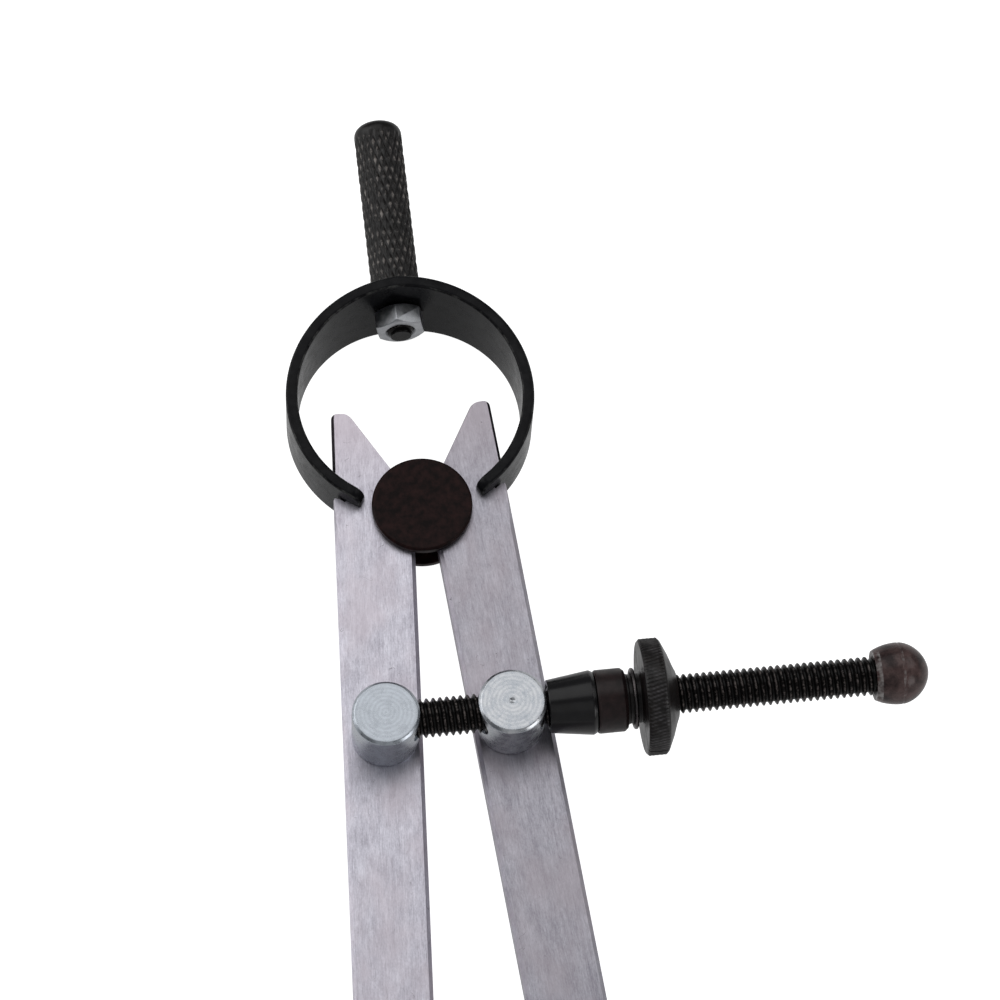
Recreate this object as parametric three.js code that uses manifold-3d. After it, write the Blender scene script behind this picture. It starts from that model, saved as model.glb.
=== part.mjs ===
// A bow-spring divider (marking compass), 200 mm size: two flat steel legs that swing on a
// grooved spool, a C-shaped bow spring that pushes them apart, a knurled handle on top, and a
// screw with a quick-adjusting nut that sets the opening.
//
// Frame: millimetres. The divider lies flat. +X is right, along the adjusting screw, +Y points
// from the fulcrum to the handle, and +Z is the front. The origin is the centre of the
// spool's back face, so the fulcrum axis is the Z axis.

import * as THREE from "three";
import { mergeVertices } from "three/addons/utils/BufferGeometryUtils.js";
import Module from "manifold-3d";

const wasm = await Module();
wasm.setup();

// ---------------------------------------------------------------- driving dimensions

const GAP = 0.3;                    // clearance between pieces that touch on the real object
const SEGMENTS = 32;                // facets round a turned piece
const FINE_SEGMENTS = 48;           // round the largest turned pieces
const BORE_SEGMENTS = 24;
const CURVE_POINTS = 8;             // on each curved stretch of a leg's outline

const LEG_WIDTH = 12;
const LEG_THICKNESS = 3.6;
const INNER_EDGE = 1.28;            // leg's inner edge, outwards from the fulcrum axis
const HALF_OPENING = THREE.MathUtils.degToRad(3.93);   // of each leg, as modelled
const EAR_HEIGHT = 16.2;            // ear tops above the fulcrum
const POINT_REACH = 184;            // points below the fulcrum
const EAR_SLOPE = THREE.MathUtils.degToRad(33.35);     // inner side of an ear, a radial line

const SPOOL_RADIUS = 7.6;
const SPOOL_BARREL = 4.2;
const FLANGE_THICKNESS = 1.25;

const BOW_RADIUS = 18;              // to the middle of the strip
const BOW_THICKNESS = 1.8;
const BOW_CENTRE_Y = 17.3;
const BOW_TOP_WIDTH = 16.4;         // widest, under the handle
const BOW_END_WIDTH = 9.6;
const BOW_END_ANGLE = THREE.MathUtils.degToRad(29.3);  // from -Y, at the tips of the prongs
const BOW_SLOT_ANGLE = THREE.MathUtils.degToRad(37.5); // from -Y, at the root of the slots

const POST_RADIUS = 5;
const POST_HEIGHT = 9.3;            // above the leg's face
const POST_DOWN = 36.4;             // along the leg, from the fulcrum
const POST_OUT = 6.8;               // outwards from the leg line through the fulcrum
const SCREW_HEIGHT = 5.4;           // screw axis above the leg's face
const SCREW_RADIUS = 2.9;           // M6, over the thread
const BORE_RADIUS = 3.2;            // of the posts and the sleeve
const POST = { shank: 2.2, head: 3.1, headHeight: 0.8, washer: 4, washerThickness: 0.8 };

// Along the screw from the left post's axis; the ball is widest that far from its own start.
const SCREW_START = -2.6;
const BALL_START = 72.3;
const BALL_LENGTH = 8.2;
const BALL_WIDEST = 4.1;
const BALL_RADIUS = 4.6;
const SCREW_END = { radius: 1.9, length: 4.5 };

// Along the screw from the right post's axis, and the radii of the nut's turned steps.
const NUT = {
  sleeveStart: POST_RADIUS + GAP,
  sleeveEnd: 12.3,
  collarEnd: 16.8,
  flangeStart: 19.2,
  flangeEnd: 22.4,
  domeEnd: 24.4,
  flangeRadius: 8.65,
  noseStart: 8.8,
  noseRadius: 3.75,
  neckRadius: 3.65,
  bore: 3.1,
  socket: 4.1,
};

const HANDLE_RADIUS = 3.75;
const HANDLE_LENGTH = 30.3;
const DOME_HEIGHT = 2.2;
const STUD_RADIUS = 2;              // M4
const HEX_FLATS = 7;
const HEX_HEIGHT = 3.2;

// ---------------------------------------------------------------- worked-out places

const LEG_BACK = FLANGE_THICKNESS + GAP;
const LEG_MID = LEG_BACK + LEG_THICKNESS / 2;
const LEG_FRONT = LEG_BACK + LEG_THICKNESS;
const SPOOL_LENGTH = LEG_FRONT + GAP + FLANGE_THICKNESS;
const OUTER_EDGE = INNER_EDGE + LEG_WIDTH;
const BOW_TOP = BOW_CENTRE_Y + BOW_RADIUS + BOW_THICKNESS / 2;
const HEX_CORNER = HEX_FLATS / Math.sqrt(3);
const BOW_INSIDE = BOW_RADIUS - BOW_THICKNESS / 2;
const HEX_TOP = BOW_CENTRE_Y + Math.sqrt(BOW_INSIDE ** 2 - HEX_CORNER ** 2) - GAP / 2;
const HEX_BOTTOM = HEX_TOP - HEX_HEIGHT;
const POST_SWING = Math.hypot(POST_DOWN, POST_OUT);
const POST_ANGLE = HALF_OPENING + Math.atan2(POST_OUT, POST_DOWN);
const POST_X = POST_SWING * Math.sin(POST_ANGLE);
const POST_Y = -POST_SWING * Math.cos(POST_ANGLE);
const SCREW_Z = LEG_FRONT + SCREW_HEIGHT;

// ---------------------------------------------------------------- materials

function steel(color, roughness, metalness = 1) {
  return new THREE.MeshStandardMaterial({ color, roughness, metalness });
}

const brushedSteel = () => steel(0xb4b0b8, 0.4);
const zincPlate = () => steel(0xc4ccd0, 0.3);
const blackSpring = () => steel(0x2c2c2d, 0.45, 0.6);
const blackOxide = () => steel(0x241e1c, 0.5, 0.5);
const glossBlack = () => steel(0x101012, 0.25, 0.6);

// ---------------------------------------------------------------- geometry helpers

function toSolid(geometry) {
  const bare = geometry.clone();
  bare.deleteAttribute("normal");
  bare.deleteAttribute("uv");
  const merged = mergeVertices(bare, 1e-5);
  return new wasm.Manifold(new wasm.Mesh({
    numProp: 3,
    vertProperties: new Float32Array(merged.attributes.position.array),
    triVerts: new Uint32Array(merged.index.array),
  }));
}

function toGeometry(solid) {
  const mesh = solid.getMesh();
  const geometry = new THREE.BufferGeometry();
  geometry.setAttribute("position", new THREE.BufferAttribute(mesh.vertProperties, 3));
  geometry.setIndex(new THREE.BufferAttribute(mesh.triVerts, 1));
  return geometry;
}

function cut(geometry, ...tools) {
  const solid = tools.reduce((rest, tool) => rest.subtract(toSolid(tool)), toSolid(geometry));
  return toGeometry(solid);
}

function common(first, second) {
  return toGeometry(toSolid(first).intersect(toSolid(second)));
}

// A turned piece about +Z from [radius, z] points, listed from low z to high z round the outside.
function turnedZ(profile, segments = SEGMENTS) {
  const points = profile.map(([radius, z]) => new THREE.Vector2(radius, z));
  return new THREE.LatheGeometry(points, segments).rotateX(Math.PI / 2);
}

// The same about +X, for the pieces on the screw.
function turnedX(profile, segments = SEGMENTS) {
  return turnedZ(profile, segments).rotateY(Math.PI / 2);
}

// The same about +Y, for the pieces on the handle's axis.
function turnedY(profile, segments = SEGMENTS) {
  const points = profile.map(([radius, y]) => new THREE.Vector2(radius, y));
  return new THREE.LatheGeometry(points, segments);
}

// A closed tube profile: the outside points, then the bore straight back to the start.
function tube(outside, bore) {
  const first = outside[0][1];
  const last = outside[outside.length - 1][1];
  return [[bore, first], ...outside, [bore, last], [bore, first]];
}

function node(name, geometry, material) {
  const mesh = new THREE.Mesh(geometry, material);
  mesh.name = name;
  return mesh;
}

// ---------------------------------------------------------------- fulcrum spool

function fulcrumSpool() {
  const chamfer = 0.25;
  const groove = [FLANGE_THICKNESS, SPOOL_LENGTH - FLANGE_THICKNESS];
  return turnedZ([
    [0, 0],
    [SPOOL_RADIUS - chamfer, 0],
    [SPOOL_RADIUS, chamfer],
    [SPOOL_RADIUS, groove[0]],
    [SPOOL_BARREL, groove[0]],
    [SPOOL_BARREL, groove[1]],
    [SPOOL_RADIUS, groove[1]],
    [SPOOL_RADIUS, SPOOL_LENGTH - chamfer],
    [SPOOL_RADIUS - chamfer, SPOOL_LENGTH],
    [0, SPOOL_LENGTH],
  ], FINE_SEGMENTS);
}

// ---------------------------------------------------------------- legs

// The right leg's outline with the leg hanging straight down: x outwards, y up, fulcrum at 0,0.
function legOutline() {
  const straightDown = 85;          // where the long taper starts
  const taperedWidth = 11.5;
  const pointDown = 163;            // where the point starts
  const pointRootWidth = 4.6;
  const pointWidth = 0.4;
  const shoulder = 1.2;
  const cornerRound = 0.6;
  const bearing = SPOOL_BARREL + GAP;
  const earTopIn = EAR_HEIGHT * Math.tan(EAR_SLOPE);

  // The notch that holds the bow's slotted end follows the strip, seen from the leg.
  const bowX = BOW_CENTRE_Y * Math.sin(HALF_OPENING);
  const bowY = BOW_CENTRE_Y * Math.cos(HALF_OPENING);
  const under = BOW_RADIUS + BOW_THICKNESS / 2 + GAP;
  const over = BOW_RADIUS - BOW_THICKNESS / 2 - GAP;
  const root = BOW_SLOT_ANGLE - HALF_OPENING - GAP / BOW_RADIUS - Math.PI / 2;
  const edgeAngle = (radius) => -Math.acos((OUTER_EDGE - bowX) / radius);
  const underY = bowY + under * Math.sin(edgeAngle(under));

  const outline = new THREE.Shape();
  outline.moveTo(INNER_EDGE, -POINT_REACH);
  outline.lineTo(INNER_EDGE + pointWidth, -POINT_REACH);
  outline.lineTo(INNER_EDGE + pointRootWidth, -pointDown);
  outline.lineTo(INNER_EDGE + taperedWidth, -straightDown);
  outline.lineTo(OUTER_EDGE, underY - shoulder);
  const rounded = edgeAngle(under) - shoulder / under;
  outline.quadraticCurveTo(OUTER_EDGE, underY - shoulder / 3,
    bowX + under * Math.cos(rounded), bowY + under * Math.sin(rounded));
  outline.absarc(bowX, bowY, under, rounded, root, true);
  outline.absarc(bowX, bowY, over, root, edgeAngle(over), false);
  outline.lineTo(OUTER_EDGE, EAR_HEIGHT - cornerRound);
  outline.quadraticCurveTo(OUTER_EDGE, EAR_HEIGHT, OUTER_EDGE - cornerRound, EAR_HEIGHT);
  outline.lineTo(earTopIn + cornerRound, EAR_HEIGHT);
  outline.quadraticCurveTo(earTopIn, EAR_HEIGHT,
    earTopIn - cornerRound * Math.sin(EAR_SLOPE), EAR_HEIGHT - cornerRound * Math.cos(EAR_SLOPE));
  outline.absarc(0, 0, bearing, Math.PI / 2 - EAR_SLOPE, -Math.acos(INNER_EDGE / bearing), true);
  return outline;
}

// Seen from the side: full thickness, then ground to a point on both faces.
function legSideOutline() {
  const grindingStart = 158;
  const half = LEG_THICKNESS / 2;
  const tip = 0.2;
  const top = EAR_HEIGHT + 1;
  return new THREE.Shape([
    new THREE.Vector2(-tip, -POINT_REACH),
    new THREE.Vector2(tip, -POINT_REACH),
    new THREE.Vector2(half, -grindingStart),
    new THREE.Vector2(half, top),
    new THREE.Vector2(-half, top),
    new THREE.Vector2(-half, -grindingStart),
  ]);
}

// side is 1 for the right leg and -1 for the left; the fulcrum is at the geometry's origin.
function leg(side) {
  const toSide = (points) => points.map((point) => new THREE.Vector2(side * point.x, point.y));
  const shankHole = new THREE.Path();
  shankHole.absarc(POST_OUT, -POST_DOWN, POST.shank + GAP, 0, 2 * Math.PI, true);
  const outline = new THREE.Shape(toSide(legOutline().getPoints(CURVE_POINTS)));
  outline.holes.push(new THREE.Path(toSide(shankHole.getPoints(BORE_SEGMENTS).slice(0, -1))));
  const plate = new THREE.ExtrudeGeometry(outline, { depth: LEG_THICKNESS, bevelEnabled: false });
  plate.translate(0, 0, -LEG_THICKNESS / 2);
  const reach = 4 * LEG_WIDTH;
  const ground = new THREE.ExtrudeGeometry(legSideOutline(), { depth: reach, bevelEnabled: false });
  ground.translate(0, 0, -reach / 2).rotateY(Math.PI / 2);
  return common(plate, ground);
}

// ---------------------------------------------------------------- bow spring

// The strip is widest under the handle and narrows to the forked ends that straddle the legs.
// angle is measured from -Y about the bow's centre.
function bowWidth(angle) {
  const share = 1 - Math.abs(angle - Math.PI) / (Math.PI - BOW_END_ANGLE);
  const flare = 1.5;
  return BOW_END_WIDTH + (BOW_TOP_WIDTH - BOW_END_WIDTH) * Math.max(share, 0) ** flare;
}

function bowStrip() {
  const steps = 56;
  const outer = BOW_RADIUS + BOW_THICKNESS / 2;
  const positions = [];
  const faces = [];
  for (let step = 0; step <= steps; step += 1) {
    const angle = BOW_END_ANGLE + (2 * Math.PI - 2 * BOW_END_ANGLE) * step / steps;
    const half = bowWidth(angle) / 2;
    for (const [radius, z] of [[BOW_INSIDE, -half], [outer, -half], [outer, half], [BOW_INSIDE, half]]) {
      positions.push(radius * Math.sin(angle), BOW_CENTRE_Y - radius * Math.cos(angle), LEG_MID + z);
    }
  }
  const quad = (a, b, c, d) => faces.push(a, c, b, a, d, c);
  for (let step = 0; step < steps; step += 1) {
    for (let corner = 0; corner < 4; corner += 1) {
      const next = (corner + 1) % 4;
      quad(4 * step + corner, 4 * step + next, 4 * step + 4 + next, 4 * step + 4 + corner);
    }
  }
  quad(3, 2, 1, 0);
  quad(4 * steps, 4 * steps + 1, 4 * steps + 2, 4 * steps + 3);
  const geometry = new THREE.BufferGeometry();
  geometry.setAttribute("position", new THREE.Float32BufferAttribute(positions, 3));
  geometry.setIndex(faces);
  return geometry;
}

function bowSpring() {
  const slotWidth = LEG_THICKNESS + 2 * GAP;
  const overrun = 2;                // of each cutting block past the strip
  const slots = [-1, 1].map((side) => {
    const length = 2 * BOW_RADIUS * Math.sin((BOW_SLOT_ANGLE - BOW_END_ANGLE) / 2) + overrun;
    const slot = new THREE.BoxGeometry(length, 2 * BOW_THICKNESS, slotWidth);
    const middle = BOW_SLOT_ANGLE - length / 2 / BOW_RADIUS;
    return slot.rotateZ(side * BOW_SLOT_ANGLE).translate(
      side * (BOW_RADIUS * Math.sin(BOW_SLOT_ANGLE) - length / 2 * Math.cos(BOW_SLOT_ANGLE)),
      BOW_CENTRE_Y - BOW_RADIUS * Math.cos(middle), LEG_MID);
  });
  const holeRadius = STUD_RADIUS + GAP;
  const holeStart = BOW_TOP - BOW_THICKNESS - overrun;
  const holeEnd = BOW_TOP + overrun;
  const studHole = turnedY([[0, holeStart], [holeRadius, holeStart], [holeRadius, holeEnd],
    [0, holeEnd]], BORE_SEGMENTS).translate(0, 0, LEG_MID);
  return cut(bowStrip(), ...slots, studHole);
}

// ---------------------------------------------------------------- handle

function handle() {
  const seat = BOW_TOP + GAP;
  const top = seat + HANDLE_LENGTH;
  const chamfer = 0.3;
  const squareness = 0.75;          // of the dome: flatter than an ellipse in the middle
  const domeSteps = 6;
  const stud = { end: HEX_BOTTOM - 0.8, chamfer: 0.4 };
  const dome = [];
  for (let step = 1; step < domeSteps; step += 1) {
    const turn = step / domeSteps * Math.PI / 2;
    dome.push([HANDLE_RADIUS * Math.cos(turn) ** squareness,
      top - DOME_HEIGHT + DOME_HEIGHT * Math.sin(turn) ** squareness]);
  }
  return turnedY([
    [0, stud.end],
    [STUD_RADIUS - stud.chamfer, stud.end],
    [STUD_RADIUS, stud.end + stud.chamfer],
    [STUD_RADIUS, seat],
    [HANDLE_RADIUS - chamfer, seat],
    [HANDLE_RADIUS, seat + chamfer],
    [HANDLE_RADIUS, top - DOME_HEIGHT],
    ...dome,
    [0, top],
  ]).translate(0, 0, LEG_MID);
}

// Hex nut inside the bow, its corners cut by a cone on the free face.
function handleNut() {
  const turn = THREE.MathUtils.degToRad(15);
  const cornerCut = 0.5;
  const overrun = 1;
  const outside = HEX_CORNER + 0.1;
  const holeRadius = STUD_RADIUS + GAP;
  const hex = new THREE.CylinderGeometry(HEX_CORNER, HEX_CORNER, HEX_HEIGHT, 6);
  hex.rotateY(turn).translate(0, (HEX_TOP + HEX_BOTTOM) / 2, 0);
  const rounding = turnedY([[0, HEX_BOTTOM], [HEX_FLATS / 2, HEX_BOTTOM],
    [outside, HEX_BOTTOM + cornerCut], [outside, HEX_TOP], [0, HEX_TOP]]);
  const bore = turnedY([[0, HEX_BOTTOM - overrun], [holeRadius, HEX_BOTTOM - overrun],
    [holeRadius, HEX_TOP + overrun], [0, HEX_TOP + overrun]], BORE_SEGMENTS);
  return cut(common(hex, rounding), bore).translate(0, 0, LEG_MID);
}

// ---------------------------------------------------------------- posts and screw

// A turned post: body in front of the leg, shank through it, end riveted over behind the washer.
function post() {
  const chamfer = 0.45;
  const rivetRound = { in: 0.5, up: 0.3 };
  const foot = LEG_FRONT + GAP;
  const top = LEG_FRONT + POST_HEIGHT;
  const headTop = LEG_BACK - 2 * GAP - POST.washerThickness;
  return turnedZ([
    [0, headTop - POST.headHeight],
    [POST.head - rivetRound.in, headTop - POST.headHeight],
    [POST.head, headTop - rivetRound.up],
    [POST.head, headTop],
    [POST.shank, headTop],
    [POST.shank, foot],
    [POST_RADIUS, foot],
    [POST_RADIUS, top - chamfer],
    [POST_RADIUS - chamfer, top],
    [0, top],
  ]);
}

function crossHole(from, to) {
  return turnedX([[0, from], [BORE_RADIUS, from], [BORE_RADIUS, to], [0, to]], BORE_SEGMENTS)
    .translate(0, 0, SCREW_Z);
}

function postWasher() {
  const top = LEG_BACK - GAP;
  const bottom = top - POST.washerThickness;
  return turnedZ(tube([[POST.washer, bottom], [POST.washer, top]], POST.shank + GAP));
}

function adjustingScrew() {
  const end = BALL_START - GAP;
  return turnedX([
    [0, SCREW_START],
    [SCREW_RADIUS, SCREW_START],
    [SCREW_RADIUS, end],
    [SCREW_END.radius, end],
    [SCREW_END.radius, end + SCREW_END.length],
    [0, end + SCREW_END.length],
  ]);
}

// The ball stop: cut off flat on the screw's side, where its curve starts at 62 % of a quarter
// turn before the widest place, and blunter on the free side.
function screwBall() {
  const bevel = { inner: 3.3, outer: 3.7, width: 0.5 };
  const cutShare = 0.62;
  const steps = 10;
  const quarter = Math.PI / 2;
  const outside = [[bevel.inner, 0], [bevel.outer, bevel.width]];
  for (let step = 1; step <= steps; step += 1) {
    const turn = (step / steps * (1 + cutShare) - cutShare) * quarter;
    const reach = turn < 0 ? BALL_WIDEST / Math.sin(cutShare * quarter) : BALL_LENGTH - BALL_WIDEST;
    const radius = step < steps ? BALL_RADIUS * Math.cos(turn) : 0;
    outside.push([radius, BALL_WIDEST + reach * Math.sin(turn)]);
  }
  const hole = SCREW_END.radius + GAP;
  const depth = SCREW_END.length + GAP;
  return turnedX([[0, depth], [hole, depth], [hole, 0], ...outside].map(
    ([radius, x]) => [radius, x + BALL_START]));
}

// ---------------------------------------------------------------- quick-adjusting nut

// Taper sleeve: bears on the right post, its wide end is the socket for the nut's nose.
function nutSleeve() {
  const socketStart = NUT.noseStart - GAP;
  const chamfer = 0.6;
  return turnedX([
    [BORE_RADIUS, NUT.sleeveStart],
    [3.9, NUT.sleeveStart],
    [4.78, NUT.sleeveEnd - chamfer],
    [4.45, NUT.sleeveEnd],
    [NUT.socket, NUT.sleeveEnd],
    [NUT.socket, socketStart],
    [BORE_RADIUS, socketStart],
    [BORE_RADIUS, NUT.sleeveStart],
  ]);
}

function nutCollar() {
  const start = NUT.sleeveEnd + GAP;
  return turnedX(tube([
    [4.6, start],
    [4.7, start + 0.15],
    [4.7, NUT.collarEnd - 0.5],
    [4.3, NUT.collarEnd],
  ], NUT.socket));
}

// The whole nut before it is split: nose, neck, knurled flange and shallow dome.
function wholeNut() {
  const rim = 0.35;
  const noseTaper = { in: 0.3, length: 0.5 };
  const neckStart = NUT.collarEnd + 0.4;
  return turnedX(tube([
    [NUT.noseRadius - noseTaper.in, NUT.noseStart],
    [NUT.noseRadius, NUT.noseStart + noseTaper.length],
    [NUT.noseRadius, neckStart - 0.1],
    [NUT.neckRadius, neckStart],
    [NUT.neckRadius, NUT.flangeStart],
    [NUT.flangeRadius - rim, NUT.flangeStart],
    [NUT.flangeRadius, NUT.flangeStart + rim],
    [NUT.flangeRadius, NUT.flangeEnd - rim],
    [NUT.flangeRadius - rim, NUT.flangeEnd],
    [6.2, NUT.flangeEnd + 0.95],    // a point on the shallow dome
    [3.5, NUT.domeEnd],
  ], NUT.bore), FINE_SEGMENTS);
}

// Each half is one side of the nut; the split faces front and back, and halves nearly meet.
function nutHalf(side) {
  const depth = NUT.flangeRadius + 1;
  const block = new THREE.BoxGeometry(2 * NUT.domeEnd, 2 * depth, depth);
  block.translate(NUT.domeEnd, 0, side * (depth + GAP) / 2);
  return common(wholeNut(), block);
}

// Wire ring in the neck that holds the two halves together.
function nutRing() {
  const wire = 0.3;
  const steps = 8;
  const ringRadius = NUT.neckRadius + GAP + wire;
  const middle = (NUT.collarEnd + NUT.flangeStart) / 2;
  const profile = [];
  for (let step = 0; step <= steps; step += 1) {
    const turn = step / steps * 2 * Math.PI;
    profile.push([ringRadius + wire * Math.cos(turn), middle + wire * Math.sin(turn)]);
  }
  return turnedX(profile);
}

// ---------------------------------------------------------------- assembly

function legGroup(side) {
  const group = new THREE.Group();
  group.rotation.z = side * HALF_OPENING;
  group.position.z = LEG_MID;
  group.add(node(side < 0 ? "left_leg" : "right_leg", leg(side), brushedSteel()));
  return group;
}

function screwPostGroup() {
  const group = new THREE.Group();
  group.position.set(-POST_X, POST_Y, 0);
  const reach = POST_RADIUS + 1;    // the hole stops inside this post, behind the screw's end
  group.add(node("left_post", cut(post(), crossHole(SCREW_START - GAP, reach)), zincPlate()));
  group.add(node("left_post_washer", postWasher(), zincPlate()));
  const screwLine = new THREE.Group();
  screwLine.position.z = SCREW_Z;
  screwLine.add(node("adjusting_screw", adjustingScrew(), glossBlack()));
  screwLine.add(node("screw_ball", screwBall(), blackOxide()));
  group.add(screwLine);
  return group;
}

function nutPostGroup() {
  const group = new THREE.Group();
  group.position.set(POST_X, POST_Y, 0);
  const reach = POST_RADIUS + 1;
  group.add(node("right_post", cut(post(), crossHole(-reach, reach)), zincPlate()));
  group.add(node("right_post_washer", postWasher(), zincPlate()));
  const screwLine = new THREE.Group();
  screwLine.position.z = SCREW_Z;
  screwLine.add(node("nut_sleeve", nutSleeve(), glossBlack()));
  screwLine.add(node("nut_collar", nutCollar(), blackOxide()));
  screwLine.add(node("nut_half_front", nutHalf(1), blackOxide()));
  screwLine.add(node("nut_half_back", nutHalf(-1), blackOxide()));
  screwLine.add(node("nut_ring", nutRing(), zincPlate()));
  group.add(screwLine);
  return group;
}

const divider = new THREE.Group();
divider.add(node("fulcrum_spool", fulcrumSpool(), blackOxide()));
divider.add(node("bow_spring", bowSpring(), blackSpring()));
divider.add(node("handle", handle(), blackOxide()));
divider.add(node("handle_nut", handleNut(), zincPlate()));
divider.add(legGroup(-1));
divider.add(legGroup(1));
divider.add(screwPostGroup());
divider.add(nutPostGroup());

export default divider;
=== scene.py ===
"""Looks of a bow-spring divider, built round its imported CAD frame.

Shapes are made in millimetres, in the frame's axes: +X along the adjusting screw, +Y from the
fulcrum to the handle, +Z out of the front. Turned pieces are drawn as [radius, height] points
about their own axis and then laid along it. MM turns a finished shape into Blender's metres.
"""
import math

import bmesh
import bpy
from mathutils import Matrix, Vector
from mathutils.geometry import tessellate_polygon


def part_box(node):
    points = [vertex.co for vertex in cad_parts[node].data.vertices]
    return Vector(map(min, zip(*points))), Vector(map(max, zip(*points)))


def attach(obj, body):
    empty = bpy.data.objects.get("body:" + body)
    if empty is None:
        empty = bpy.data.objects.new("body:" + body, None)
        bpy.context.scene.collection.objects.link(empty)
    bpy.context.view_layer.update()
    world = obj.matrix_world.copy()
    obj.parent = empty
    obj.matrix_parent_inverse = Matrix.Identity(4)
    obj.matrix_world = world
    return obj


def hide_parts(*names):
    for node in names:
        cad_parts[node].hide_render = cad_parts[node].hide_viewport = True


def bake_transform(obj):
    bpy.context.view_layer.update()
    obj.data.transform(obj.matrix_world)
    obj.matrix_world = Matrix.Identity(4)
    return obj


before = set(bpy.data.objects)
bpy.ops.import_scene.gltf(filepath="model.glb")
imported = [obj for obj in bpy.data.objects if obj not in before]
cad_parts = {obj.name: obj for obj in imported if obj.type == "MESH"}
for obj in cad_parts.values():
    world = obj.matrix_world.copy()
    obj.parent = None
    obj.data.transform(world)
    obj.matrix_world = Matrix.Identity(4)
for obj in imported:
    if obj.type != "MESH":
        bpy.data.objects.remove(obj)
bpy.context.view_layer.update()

MM = 0.001
FULL_TURN = 2 * math.pi
ALONG_X = Matrix.Rotation(math.pi / 2, 4, "Y")
ALONG_Y = Matrix.Rotation(-math.pi / 2, 4, "X")


# ------------------------------------------------------------------ places from the frame

def box(*nodes):
    """Lowest and highest corner of some CAD nodes, in millimetres."""
    corners = [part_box(node) for node in nodes]
    low = Vector(min(pair[0][axis] for pair in corners) for axis in range(3))
    high = Vector(max(pair[1][axis] for pair in corners) for axis in range(3))
    return low / MM, high / MM


SPOOL_LOW, SPOOL_HIGH = box("fulcrum_spool")
SPOOL_RADIUS = SPOOL_HIGH.x
SPOOL_LENGTH = SPOOL_HIGH.z

LEG_LOW, LEG_HIGH = box("right_leg")
LEG_HALF = (LEG_HIGH.z - LEG_LOW.z) / 2
LEG_MID = (LEG_HIGH.z + LEG_LOW.z) / 2
LEG_FRONT = LEG_HIGH.z
LEG_BACK = LEG_LOW.z

BOW_LOW, BOW_HIGH = box("bow_spring")
BOW_OUTSIDE = BOW_HIGH.x
BOW_CENTRE_Y = BOW_HIGH.y - BOW_OUTSIDE

HANDLE_LOW, HANDLE_HIGH = box("handle")
HANDLE_RADIUS = HANDLE_HIGH.x
HEX_LOW, HEX_HIGH = box("handle_nut")

SCREW_LOW, SCREW_HIGH = box("adjusting_screw")
SCREW_RADIUS = (SCREW_HIGH.z - SCREW_LOW.z) / 2
SCREW_AXIS = Vector((0, (SCREW_LOW.y + SCREW_HIGH.y) / 2, (SCREW_LOW.z + SCREW_HIGH.z) / 2))
BALL_LOW, BALL_HIGH = box("screw_ball")

# ------------------------------------------------------------------ sizes of the pieces

GAP = 0.3                                # the frame's clearance between pieces
SNUG = 0.08                              # the smaller gap drawn where the bow grips a leg
HALF_OPENING = math.radians(3.93)        # of each leg at rest
INNER_EDGE = 1.28                        # leg's inner edge, outwards from the fulcrum axis
LEG_WIDTH = 12
OUTER_EDGE = INNER_EDGE + LEG_WIDTH
EAR_HEIGHT = 16.2
EAR_SLOPE = math.radians(33.35)
TAPER_START = 85                         # down from the fulcrum, where a leg narrows faster
THINNING_START = 158                     # where it starts to thin
TIP_START = 163                          # where its point starts
POINT_REACH = 184                        # and ends
LEG_CHAMFER = 0.62                       # of a leg's edges, front and back
SPOOL_BARREL = 4.2
FLANGE_THICKNESS = 1.25

BOW_THICKNESS = 1.8
BOW_RADIUS = BOW_OUTSIDE - BOW_THICKNESS / 2
BOW_END_ANGLE = math.radians(29.3)
BOW_SLOT_ANGLE = math.radians(37.5)
BOW_HALF_LENGTH = BOW_RADIUS * (math.pi - BOW_END_ANGLE)
BOW_TOP_WIDTH = BOW_HIGH.z - BOW_LOW.z
BOW_END_WIDTH = 9.6
STUD_RADIUS = 2

POST_RADIUS = 5
POST_SHANK = 2.2
POST_HEAD = 3.1
WASHER_RADIUS = 4
WASHER_THICKNESS = 0.8
POST_DOWN = 36.4
POST_OUT = 6.8
BORE_RADIUS = 3.2


# ------------------------------------------------------------------ shapes

class Shape:
    """Points and faces of a closed solid. A point's crest, 0 to 1, says how open it is to wear."""

    def __init__(self):
        self.points = []
        self.faces = []
        self.crests = []

    def point(self, where, crest=0.0):
        self.points.append(Vector(where))
        self.crests.append(crest)
        return len(self.points) - 1

    def band(self, low, high, closed=True):
        """Faces between two rows of point numbers; a row of one point is a pole."""
        count = max(len(low), len(high))
        for step in range(count if closed else count - 1):
            following = (step + 1) % count
            quad = [low[step % len(low)], low[following % len(low)],
                    high[following % len(high)], high[step % len(high)]]
            self.faces.append(list(dict.fromkeys(quad)))


def rounded(profile, radius, closed=False, steps=3):
    """The profile with its corners rounded. hold keeps the flats beside each corner flat."""
    hold = 0.06
    corners = [Vector(corner) for corner in profile]
    result = []
    for number, corner in enumerate(corners):
        if not closed and number in (0, len(corners) - 1):
            result.append(corner)
            continue
        back = corners[number - 1] - corner
        ahead = corners[(number + 1) % len(corners)] - corner
        reach = min(radius, back.length / 2.4, ahead.length / 2.4)
        start = corner + back.normalized() * reach
        end = corner + ahead.normalized() * reach
        room = min(hold, 0.08 * min(back.length, ahead.length))
        result.append(start + back.normalized() * room)
        for step in range(steps + 1):
            share = step / steps
            result.append(start * (1 - share) ** 2 + corner * 2 * share * (1 - share) + end * share ** 2)
        result.append(end + ahead.normalized() * room)
    return result


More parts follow.
